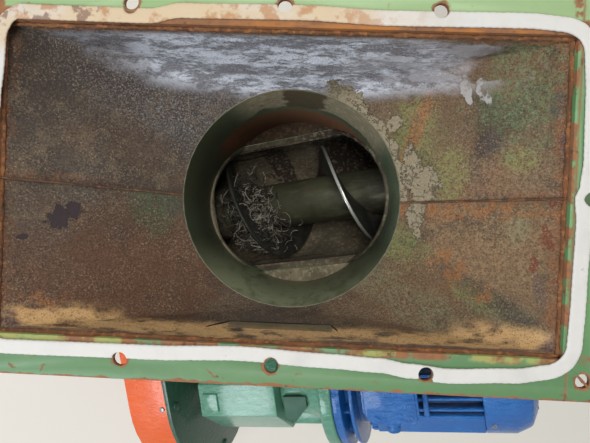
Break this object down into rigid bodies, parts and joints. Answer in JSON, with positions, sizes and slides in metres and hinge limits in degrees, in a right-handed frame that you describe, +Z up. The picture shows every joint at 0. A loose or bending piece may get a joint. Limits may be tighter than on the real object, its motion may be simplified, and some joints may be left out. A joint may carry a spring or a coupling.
{
  "type": "screw conveyor",
  "caption": "Inclined tubular screw conveyor on welded stands, with a rectangular inlet hopper, an open-ended outlet below the upper end and a geared motor beside the lower end.",
  "frame": {"origin": "centre of the inlet stand's sole, on the floor, below the centre of the inlet spout", "axes": "+X along the conveyor's plan line, the way it climbs; +Y to the side away from the drive; +Z up"},
  "size_m": [2.7385, 0.7224, 1.16],
  "materials": {
    "casing_paint": "satin, dusty",
    "hopper_sheet": "worn, rusty",
    "seal": "matt",
    "screw_steel": "worn",
    "plate_paint": "gloss",
    "guard_paint": "gloss",
    "gearbox_paint": "gloss",
    "motor_paint": "gloss",
    "bearing_iron": "painted"
  },
  "bodies": {
    "casing": {"inlet_flange_back": "casing_paint", "inlet_flange_left": "casing_paint", "inlet_flange_front": "casing_paint", "inlet_flange_right": "casing_paint", "sealing_strip": "seal", "hopper_half_front": "hopper_sheet", "hopper_half_back": "hopper_sheet", "inlet_spout": "casing_paint", "inlet_ledge_front": "casing_paint", "inlet_ledge_back": "casing_paint", "inlet_tube": "casing_paint", "conveyor_tube_lower": "casing_paint", "conveyor_tube_upper": "casing_paint", "joint_ring_lower": "casing_paint", "joint_ring_upper": "casing_paint", "drive_plate": "plate_paint", "chain_guard": "guard_paint", "end_plate_upper": "casing_paint", "bearing_upper": "bearing_iron", "outlet_spout": "casing_paint", "outlet_flange": "casing_paint", "inlet_sole": "casing_paint", "inlet_post_front": "casing_paint", "inlet_post_back": "casing_paint", "inlet_tie": "casing_paint", "upper_crossbar": "casing_paint", "upper_sole_front": "casing_paint", "upper_sole_back": "casing_paint", "upper_post_front": "casing_paint", "upper_post_back": "casing_paint", "upper_tie": "casing_paint", "gearbox_neck": "plate_paint", "gearbox_housing": "gearbox_paint", "gearbox_cover": "gearbox_paint", "gearbox_foot": "gearbox_paint", "drive_bracket": "casing_paint", "gearbox_lug": "plate_paint", "gearbox_bell": "gearbox_paint", "motor_flange": "motor_paint", "motor_body": "motor_paint", "terminal_box": "motor_paint", "cable_gland": "motor_paint", "fan_cover": "motor_paint"},
    "screw": {"screw_shaft": "screw_steel", "screw_flight_lower": "screw_steel", "screw_flight_upper": "screw_steel"}
  },
  "joints": [
    {"name": "screw_turn", "type": "hinge", "parent": "casing", "child": "screw", "pos_m": [0, 0, 0.376], "axis": [0.9613, 0, 0.2756], "continuous": true}
  ]
}
